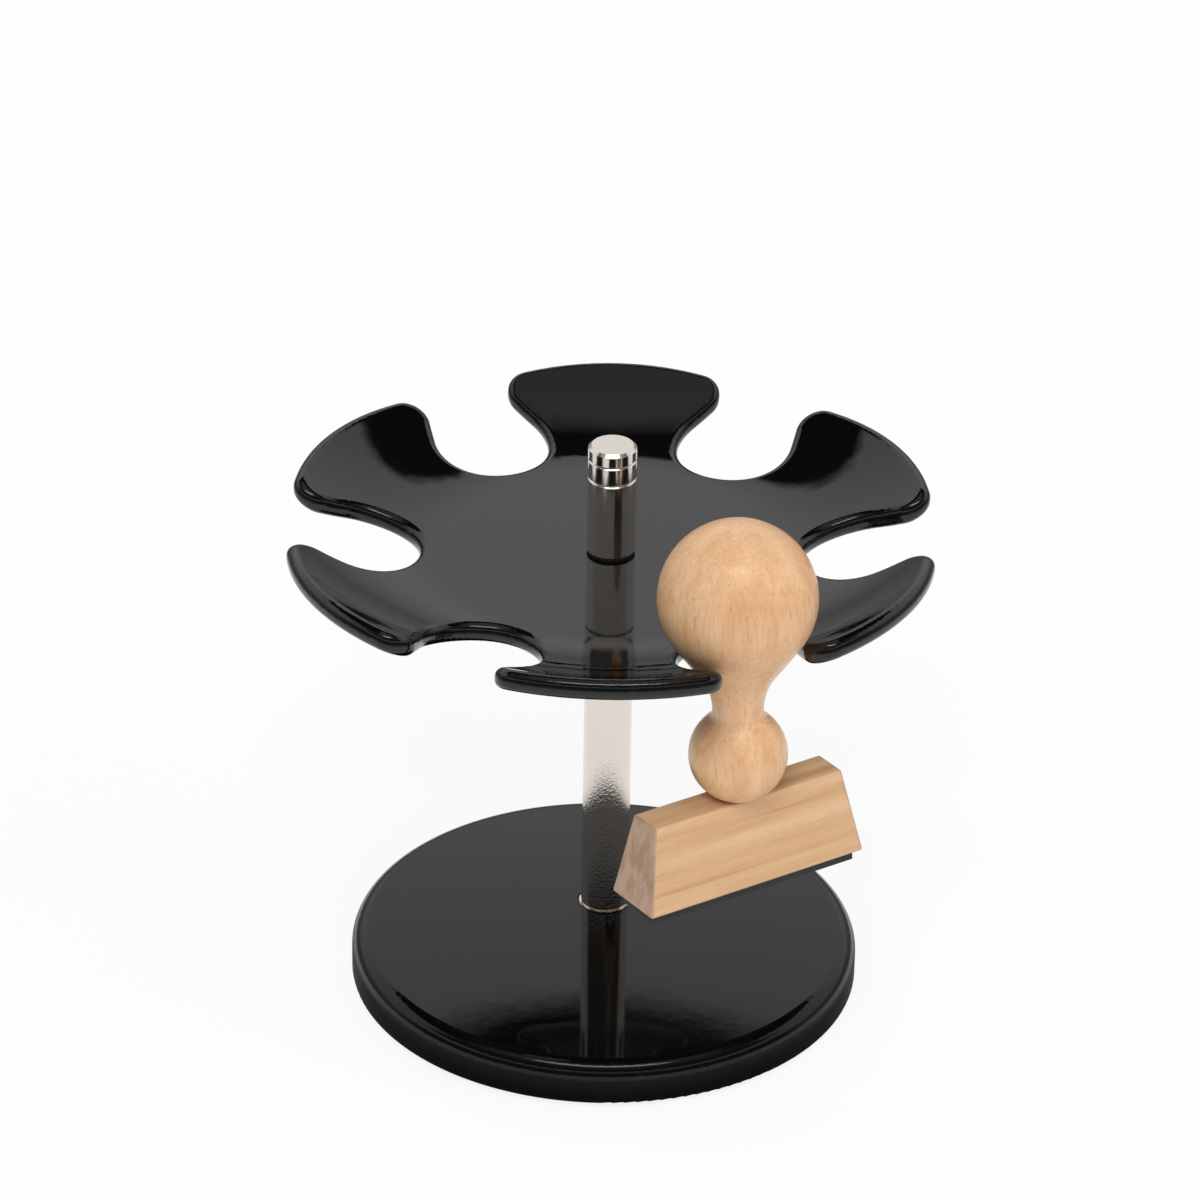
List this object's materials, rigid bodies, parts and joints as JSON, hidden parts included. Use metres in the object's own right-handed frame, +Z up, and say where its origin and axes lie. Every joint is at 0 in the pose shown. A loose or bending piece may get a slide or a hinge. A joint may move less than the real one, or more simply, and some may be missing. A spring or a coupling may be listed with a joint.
{
  "type": "desk stamp carousel",
  "caption": "Weighted disc base with an upright post and a lobed dish that turns on it; hand stamps hang by their necks in the open notches of the dish, and one wooden stamp hangs there.",
  "frame": {"origin": "on the rest face of the base, on the axis of the post", "axes": "+Z up along the post; the base disc and the front lobe lie towards -Y; the hanging stamp is in the notch at 60 degrees below +X"},
  "size_m": [0.1318, 0.1374, 0.1263],
  "materials": {
    "base_enamel": "thick gloss black enamel",
    "dish_enamel": "thick gloss black enamel",
    "post_nickel": "satin nickel plate, warm",
    "knob_nickel": "turned nickel plate with two grooves",
    "zinc_steel": "zinc plated steel fasteners",
    "sleeve_brass": "turned brass",
    "black_nylon": "black nylon",
    "white_nylon": "natural nylon",
    "pad_rubber": "fine textured non-slip rubber",
    "handle_beech": "turned and lacquered beech",
    "block_beech": "planed beech, bare",
    "dowel_wood": "fluted hardwood dowel",
    "cushion_foam": "dense grey foam",
    "die_rubber": "black stamp rubber with a plain raised border and plain lines"
  },
  "bodies": {
    "stand": {"base_disc": "base_enamel", "base_pad": "pad_rubber", "base_screw": "zinc_steel", "base_lock_washer": "zinc_steel", "base_flat_washer": "zinc_steel", "post_foot_ring": "post_nickel", "post_rod": "post_nickel", "pivot_stud": "zinc_steel", "pivot_sleeve": "sleeve_brass", "thrust_washer": "white_nylon", "top_washer": "black_nylon", "post_knob": "knob_nickel"},
    "carousel": {"carousel_plate": "dish_enamel", "plate_bush": "white_nylon"},
    "stamp_core": {"stamp_dowel": "dowel_wood"},
    "stamp": {"stamp_handle": "handle_beech", "stamp_block": "block_beech", "stamp_cushion": "cushion_foam", "stamp_die": "die_rubber"}
  },
  "joints": [
    {"name": "carousel_spin", "type": "hinge", "parent": "stand", "child": "carousel", "pos_m": [0, 0, 0.096], "axis": [0, 0, 1], "continuous": true},
    {"name": "stamp_lift_out", "type": "slide", "parent": "carousel", "child": "stamp_core", "axis": [0.2906, -0.5034, 0.8137], "range_m": [0, 0.075]},
    {"name": "stamp_swivel", "type": "hinge", "parent": "stamp_core", "child": "stamp", "pos_m": [0.02654, -0.04597, 0.06645], "axis": [-0.0262, 0.0453, 0.9986], "continuous": true}
  ]
}
